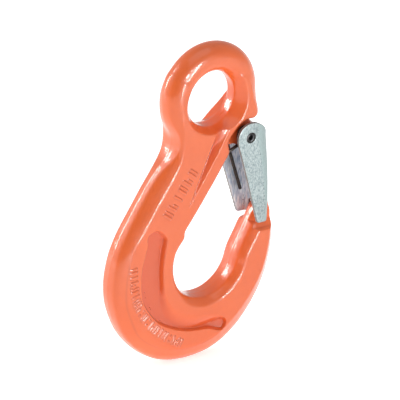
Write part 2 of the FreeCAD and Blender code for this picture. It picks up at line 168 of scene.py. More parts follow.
class Grid:
    """A regular (x, z) grid that holds fields, sampled with cubic interpolation."""

    def __init__(self, x0, x1, z0, z1, step):
        self.x0, self.z0, self.step = x0, z0, step
        self.nx, self.nz = int((x1 - x0) / step) + 1, int((z1 - z0) / step) + 1
        self.X, self.Z = np.meshgrid(x0 + np.arange(self.nx) * step,
                                     z0 + np.arange(self.nz) * step, indexing="ij")

    def nearest(self, line, closed, reach=None):
        """Distance to a polyline (signed, positive inside, if closed).

        Any columns of the line past x and z follow, as fields of their value at the
        nearest point. Only the box within reach of the line is measured.
        """
        line = np.asarray(line, float)
        count = len(line)
        tree = KDTree(count)
        for i, p in enumerate(line):
            tree.insert((p[0], 0.0, p[1]), i)
        tree.balance()
        near = np.ones(self.X.shape, bool)
        if reach is not None:
            lo, hi = line[:, :2].min(0) - reach, line[:, :2].max(0) + reach
            near = (self.X > lo[0]) & (self.X < hi[0]) & (self.Z > lo[1]) & (self.Z < hi[1])
        x, z = self.X[near], self.Z[near]
        found = np.array([tree.find((u, 0.0, v))[1] for u, v in zip(x.tolist(), z.tolist())], int)
        best = np.full(len(x), 1e9)
        extra = np.zeros((len(x), line.shape[1] - 2))
        for shift in (-1, 0):
            i = found + shift
            j = i + 1
            if closed:
                i, j = i % count, j % count
            else:
                i, j = np.clip(i, 0, count - 1), np.clip(j, 0, count - 1)
            a, b = line[i], line[j]
            edge = b[:, :2] - a[:, :2]
            offset = np.stack([x, z], 1) - a[:, :2]
            t = (offset * edge).sum(1) / np.maximum((edge * edge).sum(1), 1e-12)
            t = np.clip(t, 0, 1)[:, None]
            rest = offset - edge * t
            distance = np.hypot(rest[:, 0], rest[:, 1])
            closer = distance < best
            best = np.where(closer, distance, best)
            extra = np.where(closer[:, None], a[:, 2:] * (1 - t) + b[:, 2:] * t, extra)
        if closed:
            best = np.where(point_in(line[:, :2], x, z), best, -best)
        out = np.full(self.X.shape, -50.0 if closed else 50.0)
        out[near] = best
        fields = []
        for c in range(extra.shape[1]):
            field = np.full(self.X.shape, float(line[:, 2 + c].mean()))
            field[near] = extra[:, c]
            fields.append(field)
        return (out, *fields) if fields else out

    def sample(self, field, x, z):
        u, v = (x - self.x0) / self.step, (z - self.z0) / self.step
        i, j = np.floor(u).astype(int), np.floor(v).astype(int)
        i, j = np.clip(i, 1, self.nx - 3), np.clip(j, 1, self.nz - 3)

        def weights(t):
            return (-0.5 * t + t * t - 0.5 * t ** 3, 1 - 2.5 * t * t + 1.5 * t ** 3,
                    0.5 * t + 2 * t * t - 1.5 * t ** 3, -0.5 * t * t + 0.5 * t ** 3)

        wu, wv = weights(np.clip(u - i, 0, 1)), weights(np.clip(v - j, 0, 1))
        out = np.zeros(len(x))
        for a in range(4):
            for b in range(4):
                out += wu[a] * wv[b] * field[i + a - 1, j + b - 1]
        return out


# ===================================================================== meshing
def surface_nets(values, origin, step):
    """Quads of the zero surface of values (negative inside) on a regular grid."""
    solid = values < 0
    nx, ny, nz = values.shape
    corners = [(a, b, c) for a in (0, 1) for b in (0, 1) for c in (0, 1)]
    filled = np.zeros((nx - 1, ny - 1, nz - 1), np.uint8)
    for a, b, c in corners:
        filled += solid[a:nx - 1 + a, b:ny - 1 + b, c:nz - 1 + c]
    crossed = (filled > 0) & (filled < 8)
    I, J, K = np.nonzero(crossed)
    index = np.full(crossed.shape, -1, np.int64)
    index[I, J, K] = np.arange(len(I))
    # each point is the mean of the crossings on its cell's edges
    points = np.zeros((len(I), 3))
    hits = np.zeros(len(I))
    for start in corners:
        for axis in range(3):
            if start[axis]:
                continue
            end = list(start)
            end[axis] = 1
            fa = values[I + start[0], J + start[1], K + start[2]]
            fb = values[I + end[0], J + end[1], K + end[2]]
            hit = (fa < 0) != (fb < 0)
            t = np.where(hit, fa / np.where(hit, fa - fb, 1), 0)
            for d in range(3):
                points[:, d] += np.where(hit, start[d] + (t if d == axis else 0), 0)
            hits += hit
    points = (points / hits[:, None] + np.stack([I, J, K], 1)) * step + np.asarray(origin)
    quads = []
    for axis in range(3):
        u, v = (axis + 1) % 3, (axis + 2) % 3
        lo = [slice(None)] * 3
        hi = [slice(None)] * 3
        lo[axis], hi[axis] = slice(0, -1), slice(1, None)
        first, second = solid[tuple(lo)], solid[tuple(hi)]
        at = np.array(np.nonzero(first != second))
        inner = (at[u] > 0) & (at[v] > 0)
        inner &= (at[u] < values.shape[u] - 1) & (at[v] < values.shape[v] - 1)
        at = at[:, inner]
        outward = first[tuple(at)]

        def cell(du, dv):
            c = at.copy()
            c[u] += du
            c[v] += dv
            return index[c[0], c[1], c[2]]

        quad = np.stack([cell(-1, -1), cell(0, -1), cell(0, 0), cell(-1, 0)], 1)
        quad[~outward] = quad[~outward][:, ::-1]
        quads.append(quad)
    return points, np.vstack(quads)


def polish(distance, points, step, rounds):
    """Newton steps onto distance = 0; returns the points and the unit gradient there."""
    reach = 0.02
    for r in range(rounds + 1):
        value = distance(points)
        gradient = np.zeros_like(points)
        for k in ((1, -1, -1), (-1, -1, 1), (-1, 1, -1), (1, 1, 1)):
            k = np.array(k, float)
            gradient += k * distance(points + k * reach)[:, None]
        gradient /= 4 * reach
        size = np.linalg.norm(gradient, axis=1)
        if r < rounds:
            move = np.clip(value / np.maximum(size, 0.3) ** 2, -step, step)
            points = points - gradient * move[:, None]
    return points, gradient / np.maximum(size, 1e-9)[:, None]


def relax(points, quads, rounds=2, amount=0.45):
    """Evens the spacing of the net, which takes its points a little off the surface."""
    edges = np.vstack([quads[:, [0, 1]], quads[:, [1, 2]], quads[:, [2, 3]], quads[:, [3, 0]]])
    a, b = edges[:, 0], edges[:, 1]
    n = len(points)
    degree = np.bincount(a, minlength=n) + np.bincount(b, minlength=n)
    for _ in range(rounds):
        total = np.zeros((n, 3))
        for d in range(3):
            total[:, d] = np.bincount(a, points[b, d], n) + np.bincount(b, points[a, d], n)
        points = points + (total / np.maximum(degree, 1)[:, None] - points) * amount
    return points


def fit_net(distance, values, origin, step, first_rounds):
    """Net of the sampled values, evened out and laid on the surface of distance."""
    points, quads = surface_nets(values, origin, step)
    points, _ = polish(distance, points, step, first_rounds)
    points = relax(points, quads)
    points, normals = polish(distance, points, step, 2)
    return points, quads, normals


def largest_island(points, quads, normals):
    """Keeps the biggest connected part of the net."""
    label = np.arange(len(points))
    edges = np.vstack([quads[:, [0, 1]], quads[:, [1, 2]], quads[:, [2, 3]]])
    while True:
        lower = np.minimum(label[edges[:, 0]], label[edges[:, 1]])
        new = label.copy()
        np.minimum.at(new, edges[:, 0], lower)
        np.minimum.at(new, edges[:, 1], lower)
        new = new[new]
        if (new == label).all():
            break
        label = new
    ids, sizes = np.unique(label, return_counts=True)
    keep = label == ids[np.argmax(sizes)]
    renumber = np.cumsum(keep) - 1
    return points[keep], renumber[quads[keep[quads].all(1)]], normals[keep]


def add_object(name, mesh):
    ob = bpy.data.objects.new(name, mesh)
    bpy.context.scene.collection.objects.link(ob)
    return ob


def quad_object(name, points, faces, normals=None):
    mesh = bpy.data.meshes.new(name)
    mesh.vertices.add(len(points))
    lifted = (np.asarray(points, float) + (0, 0, LIFT)) * MM
    mesh.vertices.foreach_set("co", lifted.ravel())
    faces = np.asarray(faces)
    mesh.loops.add(faces.size)
    mesh.loops.foreach_set("vertex_index", faces.ravel())
    mesh.polygons.add(len(faces))
    mesh.polygons.foreach_set("loop_start", np.arange(0, faces.size, 4))
    mesh.polygons.foreach_set("loop_total", np.full(len(faces), 4))
    mesh.update(calc_edges=True)
    mesh.validate()
    mesh.polygons.foreach_set("use_smooth", np.ones(len(mesh.polygons), bool))
    if normals is not None:
        mesh.normals_split_custom_set_from_vertices([tuple(v) for v in normals.tolist()])
    return add_object(name, mesh)


def add_attribute(ob, name, values):
    layer = ob.data.attributes.new(name, "FLOAT", "POINT")
    layer.data.foreach_set("value", np.asarray(values, np.float32))


# ===================================================================== outline of the forging
HALF_T = 8.5                                 # half thickness of the flat faces
BOWL_X, BOWL_Z, BOWL_R = -0.8, -80.7, 18.7
BOWL_START, BOWL_END, BOWL_POINTS = -8, -208, 13    # degrees, and points along the bowl's arc


def bowl_arc(first, last):
    """Outline rows round the inside of the bowl; their edge columns ease from first to last."""
    rows = []
    for i in range(BOWL_POINTS):
        a = math.radians(BOWL_START + (BOWL_END - BOWL_START) * i / (BOWL_POINTS - 1))
        t = ease((i / (BOWL_POINTS - 1) - 0.45) / 0.4)
        rows.append((BOWL_X + BOWL_R * math.cos(a), BOWL_Z + BOWL_R * math.sin(a))
                    + tuple(float(u + (v - u) * t) for u, v in zip(first, last)))
    return rows


# parting line: x, z, bevel, half thickness at the face edge, width of the sloping band
OUTLINE = [
    (-19.7, 14.0, 1.4, 4.4, 4.0), (-22.9, 9.4, 1.3, 4.6, 5.0), (-24.6, 3.8, 1.2, 4.8, 5.0),
    (-24.7, -2.0, 1.2, 5.0, 5.0), (-23.4, -8.2, 1.2, 5.8, 3.5), (-20.9, -13.8, 1.0, 7.4, 1.2),
    (-19.9, -19.5, 0.9, 8.1, 0.5), (-21.3, -24.6, 1.6, 8.0, 0.7), (-26.0, -30.5, 3.0, 7.6, 1.4),
    (-33.0, -39.4, 3.4, 7.3, 1.9), (-39.4, -49.3, 3.2, 7.1, 2.2), (-45.7, -59.7, 2.6, 6.8, 3.0),
    (-50.4, -70.1, 1.9, 6.2, 4.5), (-52.5, -80.4, 1.3, 5.7, 6.0), (-52.6, -91.1, 1.2, 5.4, 7.0),
    (-49.7, -101.7, 1.2, 5.3, 7.0), (-43.5, -112.9, 1.4, 5.3, 7.0),
    (-33.7, -122.3, 1.6, 5.3, 7.0), (-21.8, -128.2, 1.8, 5.3, 7.0),
    (-8.2, -129.8, 1.8, 5.3, 7.0), (5.7, -127.7, 1.8, 5.3, 7.0), (18.6, -120.2, 1.8, 5.3, 6.5),
    (28.6, -108.6, 1.8, 5.4, 5.5), (35.2, -95.1, 1.8, 5.6, 4.0), (37.7, -81.6, 1.8, 6.2, 2.5),
    (37.3, -74.0, 1.4, 6.8, 1.6), (36.3, -68.1, 0.8, 7.4, 0.8), (35.8, -62.9, 0.4, 7.8, 0.3),
    (34.8, -59.9, 0.3, 8.0, 0.1), (34.0, -58.0, 0.2, 8.2, 0.1), (33.1, -57.8, 0.2, 8.2, 0.1),
    (32.65, -59.0, 0.2, 8.2, 0.1), (32.5, -60.7, 0.2, 8.2, 0.1), (31.3, -61.5, 0.2, 8.2, 0.1),
    (29.3, -62.0, 0.6, 8.1, 0.1), (27.3, -64.4, 2.4, 8.2, 0.3), (25.2, -68.2, 3.1, 8.2, 0.4),
    (22.8, -72.8, 3.1, 8.2, 0.5), (20.2, -77.6, 3.0, 8.2, 0.6),
    *bowl_arc(first=(2.9, 8.2, 0.7), last=(1.5, 8.2, 0.4)),
    (-15.2, -69.0, 1.4, 8.5, 0.4), (-14.0, -66.8, 1.3, 8.5, 0.4), (-13.9, -64.4, 1.2, 8.5, 0.4),
    (-12.0, -61.2, 1.2, 8.5, 0.4), (-8.6, -56.4, 1.2, 8.5, 0.4), (-3.2, -48.8, 1.2, 8.5, 0.4),
    (2.1, -41.0, 1.2, 8.5, 0.4), (5.8, -35.2, 1.2, 8.5, 0.4), (8.1, -31.3, 1.0, 8.5, 0.3),
    (9.0, -28.4, 0.7, 8.5, 0.3), (8.3, -25.6, 0.5, 8.5, 0.2), (7.8, -23.2, 0.4, 8.5, 0.2),
    (9.3, -20.6, 0.4, 8.5, 0.2), (12.2, -17.2, 0.4, 8.5, 0.2), (15.4, -14.7, 0.4, 8.5, 0.2),
    (19.0, -13.8, 0.4, 8.5, 0.2), (22.2, -14.2, 0.8, 8.4, 0.3), (24.9, -13.0, 1.4, 8.3, 0.4),
    (25.1, -9.2, 1.6, 8.2, 0.5), (24.1, -4.5, 2.0, 8.0, 0.6), (22.8, 0.5, 2.2, 7.6, 0.6),
    (19.8, 6.5, 2.0, 7.2, 0.6), (14.0, 9.5, 1.6, 7.2, 0.6), (7.0, 4.0, 1.5, 7.2, 0.5),
    (0.0, 1.5, 1.5, 7.2, 0.5), (-7.0, 3.5, 1.5, 7.2, 0.5), (-13.2, 8.0, 1.6, 6.2, 0.6),
    (-15.4, 12.6, 1.5, 5.4, 1.6),
]

FIELD_STEP = 0.21
BODY_STEP = 0.42                             # mesh spacing, a whole number of field steps
GRID = Grid(-57.0, 41.0, -134.0, 30.0, FIELD_STEP)
X, Z = GRID.X, GRID.Z
DEPTH, BEVEL, HALF_EDGE, BAND = GRID.nearest(periodic_spline(OUTLINE, 0.35), True, reach=4.0)
BEVEL, HALF_EDGE, BAND = np.clip(BEVEL, 0.1, 4), np.clip(HALF_EDGE, 4.5, 8.2), np.clip(BAND, 0.4, 8)

# ===================================================================== relief of the faces
# dish round the eye: angle in degrees, radius of its rim, width of its concave wall
DISH = np.array([
    (-180, 17.2, 4.5), (-160, 17.0, 4.5), (-140, 17.4, 4.5), (-130, 17.4, 4.5), (-115, 17.0, 4.5),
    (-90, 16.0, 4.5), (-70, 16.8, 4.2), (-50, 18.4, 3.6), (-35, 18.9, 3.2), (-22, 17.4, 3.0),
    (-8, 16.5, 2.8), (5, 15.8, 2.6), (20, 15.8, 2.6), (180, 17.2, 4.5)])
DISH_FLOOR, DISH_RISE = 5.2, 3.4

# crescent hollow in the bowl: outer edge x, z, then inner edge x, z, width of its ramp
CRESCENT_OUTER = open_spline([
    (-27.7, -60.9), (-31.8, -59.1), (-35.8, -60.2), (-36.8, -62.5), (-36.4, -66.4),
    (-37.4, -71.5), (-38.8, -77.2), (-39.0, -84.7), (-38.0, -92.5), (-34.8, -99.2),
    (-28.6, -106.4), (-20.9, -110.9), (-12.8, -113.8), (-5.5, -115.0), (1.2, -115.6),
    (6.3, -117.4), (9.4, -117.6), (11.0, -115.6), (11.0, -112.8), (8.6, -110.2)], 0.4)
CRESCENT_INNER = open_spline([
    (8.6, -110.2, 2.4), (5.0, -109.0, 4.5), (0.0, -107.2, 7.0), (-8.0, -105.6, 8.5),
    (-14.6, -103.4, 7.5), (-20.2, -99.8, 5.0), (-24.2, -94.2, 2.8), (-25.9, -87.0, 1.8),
    (-26.4, -80.0, 1.7), (-26.0, -73.0, 1.7), (-25.2, -67.5, 1.7), (-25.2, -64.4, 1.7),
    (-27.7, -60.9, 1.6)], 0.4)
CRESCENT_DEPTH = 2.1

# outer edge of the shallow panel: x, z
PANEL_RIM = open_spline([
    (-41.0, -60.0), (-44.2, -66.5), (-45.6, -71.9), (-46.9, -80.7), (-46.9, -90.8),
    (-44.8, -98.8), (-38.4, -111.2), (-29.4, -118.1), (-20.6, -121.7), (-9.6, -123.2),
    (1.3, -121.7), (6.7, -119.4), (11.0, -117.0)], 0.6)
PANEL_DEPTH, RIM_LINE_DEPTH = 0.6, 0.28

# the two edges of the tapering V groove down the shank: x, z
GROOVE_MINUS_X = open_spline([(0.9, -14.5), (-0.4, -17.9), (-2.4, -23.0), (-5.9, -31.3),
                              (-10.0, -41.5), (-14.3, -52.4)], 0.4)
GROOVE_PLUS_X = open_spline([(10.3, -12.0), (7.3, -17.1), (3.4, -24.3), (-0.8, -31.4),
                             (-5.5, -38.9), (-14.3, -52.4)], 0.4)
GROOVE_SLOPE, GROOVE_DEPTH = 0.95, 3.3

# raised marks, plain bars and dots. A stroke runs between two ends, each given as
# millimetres along the row and a fraction of the mark's height across it.
BAR = [(0, -0.5, 0, 0.5)]
TWO = [(-0.85, -0.5, -0.85, 0.5), (0.85, -0.5, 0.85, 0.5)]
DOTS = [(0, -0.42, 0, -0.4), (0, 0.4, 0, 0.42)]
HALF = [(-0.8, -0.5, -0.8, 0.5), (0.8, -0.5, 0.8, 0.0)]
SHANK_ROW = [(-25.6, -52.6), (-18.6, -42.6), (-12.4, -34.4)]
BOWL_ROW = [(-43.9, -77.2), (-42.9, -85.3), (-41.6, -91.6), (-38.2, -99.0), (-32.9, -106.2),
            (-23.9, -113.9), (-15.4, -118.9)]
MARK_RISE, MARK_HALF_WIDTH, MARK_SLOPE = 0.42, 0.78, 0.55


def past_shoulder(x, z):
    """Distance past the straight shoulder across the +X, -Z side of the eye."""
    return 0.665 * x - 0.747 * z - 14.68


def dish_height():
    angle = np.degrees(np.arctan2(Z, X))
    rim = np.interp(angle, DISH[:, 0], DISH[:, 1])
    width = np.interp(angle, DISH[:, 0], DISH[:, 2])
    return DISH_FLOOR + DISH_RISE * ease((np.hypot(X, Z) - (rim - width)) / width)


def crescent_relief():
    """Depth of the crescent, its closed distance, and the ramp off its inner edge."""
    loop = np.vstack([CRESCENT_OUTER, CRESCENT_INNER[:-1, :2]])
    inside = GRID.nearest(loop, True)
    from_outer = GRID.nearest(CRESCENT_OUTER, False, reach=12.0)
    from_inner, width = GRID.nearest(CRESCENT_INNER, False, reach=12.0)
    ramp = ease(from_inner / np.clip(width * 1.25 - 0.5, 1.6, 12))
    return CRESCENT_DEPTH * ease(from_outer / 1.2) * ramp * (inside > 0), inside, ramp


def panel_relief(crescent_inside, crescent_ramp):
    """Depth of the panel and the strength of the fine line along its rim."""
    loop = np.vstack([PANEL_RIM, [(11.2, -114.6), (10.4, -112.0)], CRESCENT_INNER[:, :2],
                      [(-31.0, -55.0), (-36.0, -56.5)]])
    inside = GRID.nearest(loop, True)
    from_rim = GRID.nearest(PANEL_RIM, False, reach=6.0)
    fade_up = ease((-Z - 58) / 12)
    fade_across = ease((9.5 - X) / 4)
    panel = (PANEL_DEPTH * ease(inside / 0.8) * fade_up * fade_across
             * np.where(crescent_inside > 0, crescent_ramp, 1.0))
    return panel, np.exp(-(from_rim / 0.5) ** 2) * fade_up * fade_across


def groove_relief():
    cap = np.stack([np.linspace(10.3, 0.9, 24), np.linspace(-12.0, -14.5, 24)], 1)[1:-1]
    inside = GRID.nearest(np.vstack([GROOVE_MINUS_X, GROOVE_PLUS_X[::-1][1:], cap]), True)
    return soft_min(np.maximum(inside, 0) * GROOVE_SLOPE, GROOVE_DEPTH, 1.2)


def draw_mark(marks, centre, along, height, strokes):
    """Lowers the distance field marks round the strokes of one mark."""
    across = (-along[1], along[0])
    margin = 1.5
    for a, b, c, d in strokes:
        p, q = [tuple(centre[k] + along[k] * u + across[k] * v * height for k in (0, 1))
                for u, v in ((a, b), (c, d))]
        lo = np.minimum(p, q) - margin
        hi = np.maximum(p, q) + margin
        i0, i1 = int((lo[0] - GRID.x0) / FIELD_STEP), int((hi[0] - GRID.x0) / FIELD_STEP) + 1
        j0, j1 = int((lo[1] - GRID.z0) / FIELD_STEP), int((hi[1] - GRID.z0) / FIELD_STEP) + 1
        box = (slice(i0, i1), slice(j0, j1))
        marks[box] = np.minimum(marks[box], segment_distance(X[box], Z[box], p, q))


def draw_row(marks, path, kinds, height):
    """Marks spread evenly along a path."""
    line = open_spline(path, 0.2)
    s = np.concatenate([[0], np.cumsum(np.linalg.norm(np.diff(line, axis=0), axis=1))])
    for k, strokes in enumerate(kinds):
        t = s[-1] * k / (len(kinds) - 1)
        before, after = max(t - 0.5, 0), min(t + 0.5, s[-1])
        centre = [np.interp(t, s, line[:, d]) for d in (0, 1)]
        run = [np.interp(after, s, line[:, d]) - np.interp(before, s, line[:, d]) for d in (0, 1)]
        length = math.hypot(*run)
        draw_mark(marks, centre, (run[0] / length, run[1] / length), height, strokes)


def mark_distance():
    marks = np.full(X.shape, 9.0)
    draw_row(marks, SHANK_ROW, [TWO, HALF, BAR, TWO, HALF, TWO], height=4.6)
    draw_row(marks, BOWL_ROW, [TWO, BAR, HALF, TWO, BAR, TWO, HALF, DOTS, TWO, DOTS, HALF, TWO,
                               BAR, TWO, DOTS, HALF, TWO], height=3.5)
    return marks


def smooth_noise(cell, seed):
    """Smooth noise over the grid, from a random lattice with cell grid steps between points."""
    size = tuple(int(n / cell) + 5 for n in X.shape)
    lattice = np.random.RandomState(seed).uniform(-1, 1, size)

    def weights(n):
        u = np.arange(n) / cell + 1
        i = np.floor(u).astype(int)
        t = u - i
        return i, np.stack([(1 - t) ** 3 / 6, (3 * t ** 3 - 6 * t ** 2 + 4) / 6,
                            (-3 * t ** 3 + 3 * t ** 2 + 3 * t + 1) / 6, t ** 3 / 6], 1)

    i, wi = weights(X.shape[0])
    j, wj = weights(X.shape[1])
    rows = sum(wi[:, k][:, None] * lattice[i + k - 1] for k in range(4))
    return sum(wj[:, k][None, :] * rows[:, j + k - 1] for k in range(4)) * 1.8


# the faces taper towards the top of the eye
FLAT = np.minimum(HALF_T, HALF_T - np.maximum(Z + 12.0, 0) * 0.1)
DISHED = dish_height()
CRESCENT, IN_CRESCENT, CRESCENT_RAMP = crescent_relief()
PANEL, RIM_LINE = panel_relief(IN_CRESCENT, CRESCENT_RAMP)
GROOVE = groove_relief()
MARKS = mark_distance()

FACE = soft_min(FLAT, DISHED, 0.9) - PANEL - RIM_LINE_DEPTH * RIM_LINE - CRESCENT - GROOVE
FACE = FACE + MARK_RISE * ease((MARK_HALF_WIDTH - MARKS) / MARK_SLOPE)
# hammer scale of the forging: slow undulation of the surfaces and of the edges
FACE = FACE + 0.05 * smooth_noise(26, seed=11) + 0.02 * smooth_noise(11, seed=12)
EDGE_WAVE = 0.10 * smooth_noise(17, seed=13) + 0.05 * smooth_noise(8, seed=14)
# on the +Y face the flat runs up to the straight shoulder, filling dish and groove
PAST = ease(past_shoulder(X, Z) / 1.2 + 0.5)
FAR_GAIN = (np.maximum(FLAT - soft_min(FLAT, DISHED, 0.5), 0) * PAST
            + GROOVE * (Z > -22) * PAST * ease((Z + 24) / 6))
FIELDS = [DEPTH, BEVEL, HALF_EDGE, BAND, FACE, EDGE_WAVE, FAR_GAIN]

# ===================================================================== solid of the forging
DRAFT = 0.5                                  # bow of the side walls
RING_X, RING_Z, RING_R, RING_TUBE_R = 0.3, 0.6, 18.4, 7.0
EYE_R, EYE_Z, EYE_LAND = 13.2, -1.5, 2.8     # bore, and half the width of its unflared land
# flare of the bore: angle in degrees, radius gained per millimetre of depth
FLARE = np.array([(-180, 0.38), (-150, 0.33), (-120, 0.24), (-90, 0.20), (-65, 0.27),
                  (-40, 0.45), (120, 0.45), (160, 0.40), (180, 0.38)])
LUG_HALF, LUG_R = 3.0, 6.2
LUG_OUTLINE = np.array([(5, -16), (14, -12.5), (21.5, -13.0), (PIN_X + 4.6, PIN_Z + 4.2),
                        (PIN_X, PIN_Z), (PIN_X - 4.6, PIN_Z - 4.2), (7.0, -27.0), (2, -24)])
# half thickness of the point, by z, and the line its bevel follows
TIP_THICKNESS = np.array([(-73.2, 10.9), (-70.6, 6.5), (-67.3, 4.8), (-55, 4.7)])
TIP_FROM, TIP_TO = np.array([22.0, -75.5]), np.array([31.2, -55.0])
TIP_DIR = (TIP_TO - TIP_FROM) / np.linalg.norm(TIP_TO - TIP_FROM)
TIP_BEVEL_Z, TIP_BEVEL_HALF = -70.1, 2.0
COS45 = 0.7071


def polygon_distance(x, z, polygon):
    """Signed distance to a polygon, negative inside."""
    best = np.full(x.shape, 1e9)
    inside = np.zeros(x.shape, bool)
    for a, b in zip(polygon, np.roll(polygon, -1, 0)):
        best = np.minimum(best, segment_distance(x, z, a, b))
        straddles = (a[1] > z) != (b[1] > z)
        with np.errstate(divide="ignore", invalid="ignore"):
            crossing = a[0] + (z - a[1]) / (b[1] - a[1]) * (b[0] - a[0])
        inside ^= straddles & (x < crossing)
    return np.where(inside, -best, best)


def lug_distance(x, z):
    """Round lug about the pin with a web back to the eye."""
    out = np.hypot(x - PIN_X, z - PIN_Z) - LUG_R
    near = (x > -2) & (x < 28) & (z > -32) & (z < -8)
    out[near] = soft_min(out[near], polygon_distance(x[near], z[near], LUG_OUTLINE), 1.0)
    return out


def slab_distance(y, fields):
    """The outlined slab: side walls, bevels, sloping band and relief faces."""
    depth, bevel, half_edge, band_width, face, edge_wave, far_gain = fields
    side = np.abs(y)
    face = face + far_gain * (y > 0)
    draft = np.minimum(DRAFT, 0.3 * bevel + 0.15)
    wall_half = np.maximum(half_edge - bevel, 1.0)
    blend = np.clip(bevel * 0.45, 0.15, 0.6)
    # the wall bows out towards the middle plane and carries a low parting ridge there
    wall = draft * (side / wall_half) ** 2 - depth - 0.06 * np.exp(-(y / 0.7) ** 2)
    chamfer = (side - wall_half - (depth - draft) + edge_wave) * COS45
    slope = (HALF_T - half_edge) / band_width
    band = (side - half_edge - slope * (depth - draft - bevel)) / np.sqrt(1 + slope * slope)
    faces = soft_max(band, side - face, 0.5)
    return soft_max(soft_max(wall, chamfer, blend), faces, blend)


def bore_distance(x, y, z):
    """Eye bore: a ridge on the middle plane with a flare to each side."""
    radius = np.hypot(x, z - EYE_Z)
    over = np.abs(y) - EYE_LAND
    gain = np.interp(np.degrees(np.arctan2(z - EYE_Z, x)), FLARE[:, 0], FLARE[:, 1])
    flare = (EYE_R + gain * (over + np.sqrt(over * over + 0.5)) - radius) * 0.8
    flare = np.where(y > 0, soft_min(flare, -past_shoulder(x, z), 0.8), flare)
    return soft_max(flare, EYE_R - radius, 0.3)


def thin_tip(solid, x, y, z):
    """Thins and bevels the point, where the latch straddles it."""
    side = np.abs(y)
    tip = (x > 15) & (z > -76) & (z < -40)
    across = (x - TIP_FROM[0]) * -TIP_DIR[1] + (z - TIP_FROM[1]) * TIP_DIR[0]
    half = np.interp(z, TIP_THICKNESS[:, 0], TIP_THICKNESS[:, 1])
    thinned = soft_max(solid, (side - half) * 0.75, 0.9)
    fade_in = np.clip((z - TIP_BEVEL_Z) / 2.0, 0, 1)
    bevel = (side - TIP_BEVEL_HALF + across) * COS45 - 4 * (1 - fade_in)
    return np.where(tip, soft_max(thinned, bevel, 0.5), solid)


def forging_distance(x, y, z, fields):
    """Distance-like value of the forging, negative inside."""
    solid = slab_distance(y, fields)
    ring = np.hypot(np.hypot(x - RING_X, z - RING_Z) - RING_R, y) - RING_TUBE_R
    solid = soft_min(solid, ring, 2.6)
    solid = soft_min(solid, np.maximum(lug_distance(x, z), np.abs(y) - LUG_HALF), 0.8)
    solid = soft_max(solid, bore_distance(x, y, z), 0.6)
    solid = soft_max(solid, PIN_R - np.hypot(x - PIN_X, z - PIN_Z), 0.25)
    return thin_tip(solid, x, y, z)


def field_at(field, points):
    return GRID.sample(field, points[:, 0], points[:, 2])


def forging_at(points):
    x, y, z = points.T
    return forging_distance(x, y, z, [field_at(field, points) for field in FIELDS])


def forging_net():
    stride = int(round(BODY_STEP / FIELD_STEP))
    i = np.arange(2, GRID.nx - 3, stride)
    k = np.arange(2, GRID.nz - 3, stride)
    layers = int(9.6 / BODY_STEP) * 2 + 2
    # a small offset keeps the layers clear of exact symmetry
    ys = (np.arange(layers) - (layers - 1) / 2) * BODY_STEP + 0.013
    xs, zs = GRID.x0 + i * FIELD_STEP, GRID.z0 + k * FIELD_STEP
    x, z = np.meshgrid(xs, zs, indexing="ij")
    fields = [field[np.ix_(i, k)].ravel() for field in FIELDS]
    values = np.empty((len(i), layers, len(k)))
    for j, y in enumerate(ys):
        layer = forging_distance(x.ravel(), np.full(x.size, y), z.ravel(), fields)
        values[:, j, :] = layer.reshape(x.shape)
    return fit_net(forging_at, values, (xs[0], ys[0], zs[0]), BODY_STEP, first_rounds=1)


def build_body():
    points, quads, normals = largest_island(*forging_net())
    ob = quad_object("hook_forging", points, quads, normals)
    on_face = np.clip((np.abs(normals[:, 1]) - 0.2) / 0.3, 0, 1)
    # mask of painted shade: the crescent and the V groove, by their depth, on the faces
    groove = field_at(CRESCENT, points) / CRESCENT_DEPTH + field_at(GROOVE, points) / 2.4
    add_attribute(ob, "groove", np.clip(groove, 0, 1) * on_face)
    # mask of painted shade round the walls of the marks and along the rim line
    mark_edge = np.clip(1 - np.abs(field_at(MARKS, points) - 0.62) / 0.35, 0, 1)
    mark_edge = np.clip(mark_edge + 0.5 * field_at(RIM_LINE, points), 0, 1)
    add_attribute(ob, "mark_edge", mark_edge * on_face)
    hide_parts("hook_body")
    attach(ob, "hook")
    return ob


body = build_body()

# ===================================================================== the latch
LATCH_T, LATCH_HOLE_R, HEAD_R = 1.6, 2.55, 7.3
LATCH_END_Z, LATCH_BACK_X, LATCH_TOE_X = -67.3, 33.5, 25.9
NOTCH_HALF, NOTCH_Z, NOTCH_R = 5.8, -60.1, 2.2
# folded channel: z, outside width, outside corner radius, x of its back
CHANNEL = np.array([
    (-71.0, 17.3, 3.0, 32.4), (-58.0, 18.5, 3.4, 32.4), (-48.0, 19.6, 4.5, 32.1),
    (-38.0, 20.2, 5.9, 31.8), (-31.0, 20.4, 7.2, 31.6), (-25.0, 20.6, 8.4, 31.4),
    (-12.0, 20.6, 9.0, 31.1)])
LATCH_GRID = Grid(9.0, 36.0, -71.0, -12.0, 0.125)
# box and step of the latch mesh
LATCH_LO, LATCH_HI, LATCH_STEP = (10.0, -11.0, -68.4), (33.6, 11.0, -14.2), 0.27


def arc_through(a, middle, b, steps):
    """steps + 1 points of the circle through three points, clockwise in (x, z) from a to b."""
    ax, az, bx, bz, cx, cz = *a, *middle, *b
    sa, sb, sc = ax ** 2 + az ** 2, bx ** 2 + bz ** 2, cx ** 2 + cz ** 2
    d = 2 * (ax * (bz - cz) + bx * (cz - az) + cx * (az - bz))
    ux = (sa * (bz - cz) + sb * (cz - az) + sc * (az - bz)) / d
    uz = (sa * (cx - bx) + sb * (ax - cx) + sc * (bx - ax)) / d
    r = math.hypot(ax - ux, az - uz)
    t = [math.atan2(q[1] - uz, q[0] - ux) for q in (a, middle, b)]
    for k in (1, 2):
        while t[k] > t[k - 1]:
            t[k] -= 2 * math.pi
    angles = [t[0] + (t[2] - t[0]) * i / steps for i in range(steps + 1)]
    return [(ux + r * math.cos(angle), uz + r * math.sin(angle)) for angle in angles]


